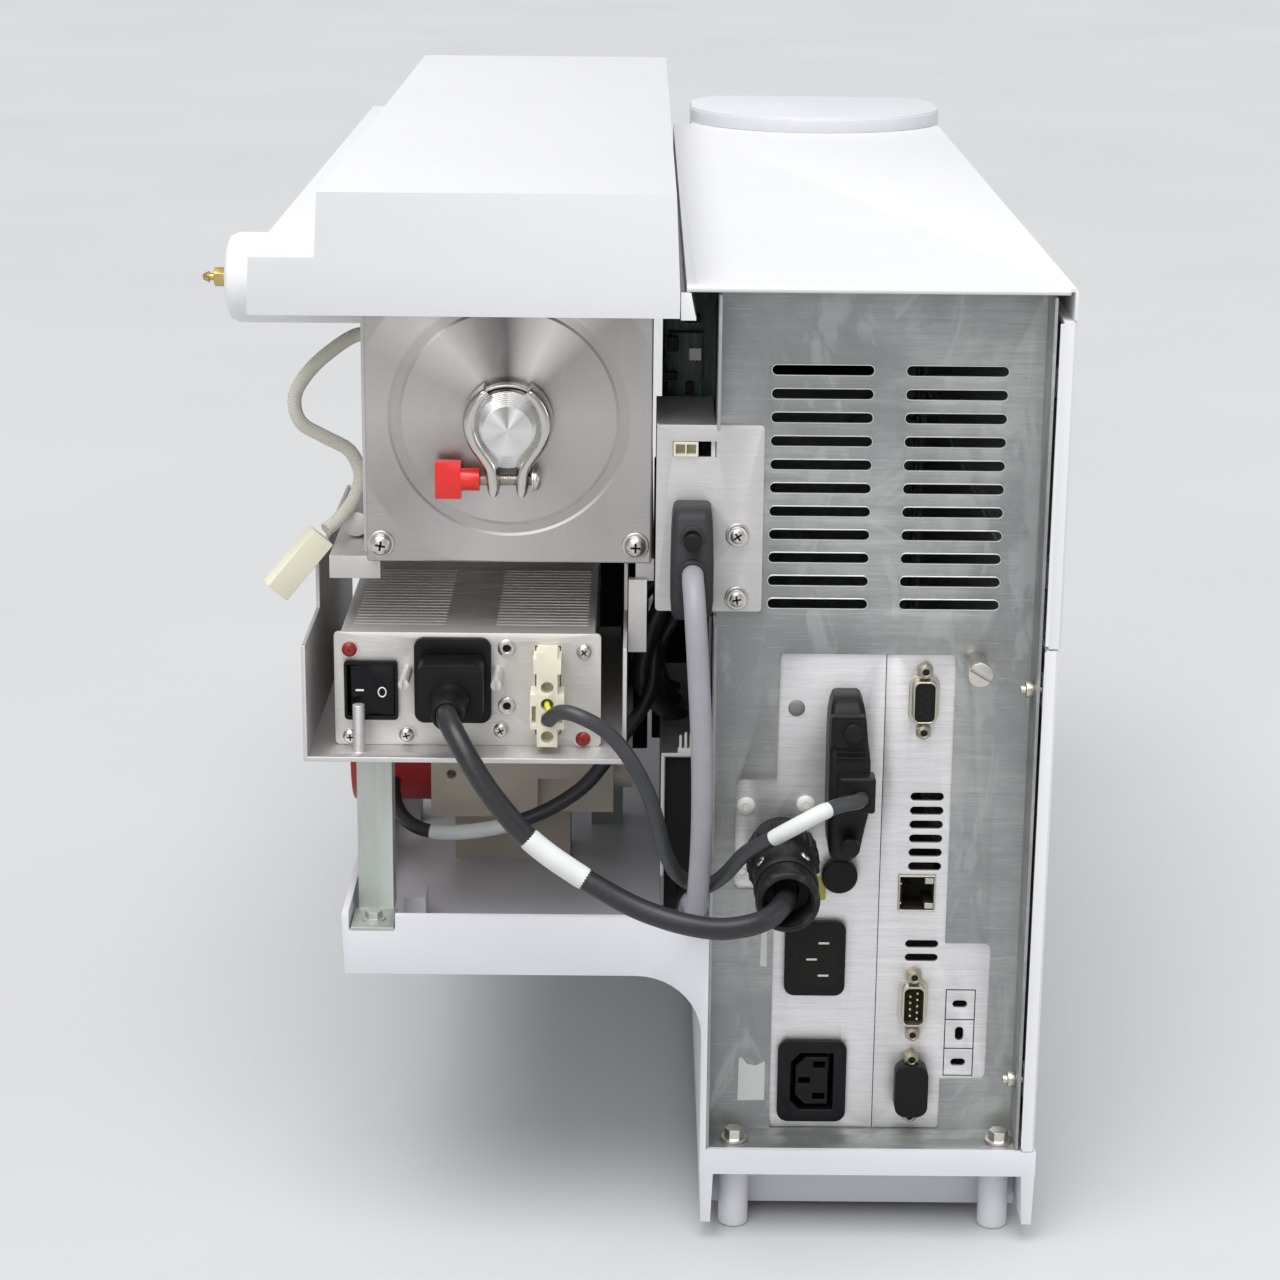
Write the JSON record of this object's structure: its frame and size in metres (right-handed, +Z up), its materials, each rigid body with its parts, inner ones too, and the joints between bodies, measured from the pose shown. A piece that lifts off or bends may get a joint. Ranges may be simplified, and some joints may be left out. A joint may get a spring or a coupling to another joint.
{
  "type": "mass spectrometer",
  "caption": "Bench mass spectrometer seen from its service side: tall electronics tower with a connector panel beside a side shelf carrying a vacuum manifold, power supply and pump",
  "frame": {"origin": "centre of the footprint, without the cables and their plugs, on the table", "axes": "+Z up, -Y towards the connector panel at the rear, +X towards the tower"},
  "size_m": [0.3434, 0.6832, 0.4254],
  "materials": {
    "white_paint": "satin powder coat",
    "white_moulding": "fine matt moulding",
    "cover_paint": "matt powder coat",
    "zinc_sheet": "zinc-plated and brushed",
    "brushed_plate": "brushed along its width",
    "bracket_sheet": "satin",
    "case_sheet": "satin",
    "machined_block": "turned and milled",
    "bright_steel": "polished",
    "fastener_steel": "bright zinc",
    "connector_nickel": "nickel plate",
    "black_plastic": "fine matt",
    "switch_black": "semi-gloss",
    "dark_plastic": "matt",
    "cream_plastic": "satin",
    "red_plastic": "semi-gloss",
    "red_paint": "satin",
    "rotor_metal": "machined",
    "beige_block": "matt",
    "can_white": "satin",
    "brass": "machined",
    "board_green": "solder mask",
    "dark_cord": "smooth jacket",
    "grey_cord": "smooth jacket",
    "cream_cord": "woven sleeve"
  },
  "bodies": {
    "instrument": {"base": "white_moulding", "base_feet": "white_moulding", "rear_chassis": "zinc_sheet", "inner_chassis": "zinc_sheet", "top_cover": "white_paint", "front_fascia": "white_moulding", "mains_plate": "brushed_plate", "interface_plate": "brushed_plate", "hex_bolts": "fastener_steel", "ball_studs": "fastener_steel", "mains_inlet": "black_plastic", "pump_outlet": "black_plastic", "remote_port": "connector_nickel", "serial_ports": "connector_nickel", "lan_jack": "connector_nickel", "signal_hood": "dark_plastic", "hood_screws": "dark_plastic", "power_connector": "dark_plastic", "pump_bracket": "bracket_sheet", "dc_connector": "cream_plastic", "pump_hood": "dark_plastic", "end_plate": "machined_block", "vacuum_chamber": "machined_block", "blank_flange": "bright_steel", "clamp_jaws": "bright_steel", "clamp_bolt": "fastener_steel", "plate_screws": "fastener_steel", "support_frame": "machined_block", "ion_trap": "machined_block", "psu_tray": "case_sheet", "psu_case": "case_sheet", "psu_lid": "case_sheet", "switch_bezel": "black_plastic", "psu_inlet": "black_plastic", "power_plug": "black_plastic", "terminal_plug": "cream_plastic", "frame_post": "zinc_sheet", "turbo_pump": "red_paint", "pump_block": "beige_block", "damper_can": "can_white", "barb_fitting": "brass", "heater_plug": "cream_plastic", "control_board": "board_green", "fan_frame": "black_plastic", "power_cable": "dark_cord", "signal_cable": "dark_cord", "pump_cable": "grey_cord", "inner_cable": "dark_cord", "heater_cable": "cream_cord"},
    "upper_panel": {"side_panel_upper": "white_paint"},
    "lower_panel": {"side_panel_lower": "white_paint"},
    "captive_screw": {"captive_screw": "fastener_steel"},
    "fuse_cap": {"fuse_cap": "black_plastic"},
    "dust_cap": {"dust_cap": "black_plastic"},
    "coupling_ring": {"coupling_ring": "dark_plastic"},
    "manifold_cover": {"manifold_cover": "cover_paint"},
    "wing_nut": {"wing_nut": "red_plastic"},
    "rocker": {"rocker_switch": "switch_black"},
    "turbo_rotor": {"turbo_rotor": "rotor_metal"},
    "fan_rotor": {"fan_rotor": "black_plastic"}
  },
  "joints": [
    {"name": "upper_panel_pull", "type": "slide", "parent": "instrument", "child": "upper_panel", "axis": [1, 0, 0], "range_m": [0, 0.03]},
    {"name": "lower_panel_pull", "type": "slide", "parent": "instrument", "child": "lower_panel", "axis": [1, 0, 0], "range_m": [0, 0.03]},
    {"name": "cover_lift", "type": "slide", "parent": "instrument", "child": "manifold_cover", "axis": [0, 0, 1], "range_m": [0, 0.06]},
    {"name": "dust_cap_pull", "type": "slide", "parent": "instrument", "child": "dust_cap", "axis": [0, -1, 0], "range_m": [0, 0.02]},
    {"name": "captive_turn", "type": "hinge", "parent": "instrument", "child": "captive_screw", "pos_m": [0.1413, -0.2975, 0.2414], "axis": [0, 1, 0], "continuous": true},
    {"name": "fuse_turn", "type": "hinge", "parent": "instrument", "child": "fuse_cap", "pos_m": [0.0904, -0.2875, 0.1516], "axis": [0, 1, 0], "range_deg": [-90, 0]},
    {"name": "collar_turn", "type": "hinge", "parent": "instrument", "child": "coupling_ring", "pos_m": [0.0667, -0.3035, 0.1635], "axis": [0, 1, 0], "range_deg": [0, 120]},
    {"name": "wing_turn", "type": "hinge", "parent": "instrument", "child": "wing_nut", "pos_m": [-0.0593, -0.2955, 0.3143], "axis": [1, 0, 0], "continuous": true},
    {"name": "rocker_tilt", "type": "hinge", "parent": "instrument", "child": "rocker", "pos_m": [-0.0954, -0.2895, 0.2291], "axis": [0, 0, 1], "range_deg": [-16, 0]},
    {"name": "turbo_spin", "type": "hinge", "parent": "instrument", "child": "turbo_rotor", "pos_m": [-0.0953, -0.1915, 0.1762], "axis": [1, 0, 0], "continuous": true},
    {"name": "fan_spin", "type": "hinge", "parent": "instrument", "child": "fan_rotor", "pos_m": [0.1007, 0.2175, 0.3], "axis": [0, 1, 0], "continuous": true}
  ]
}
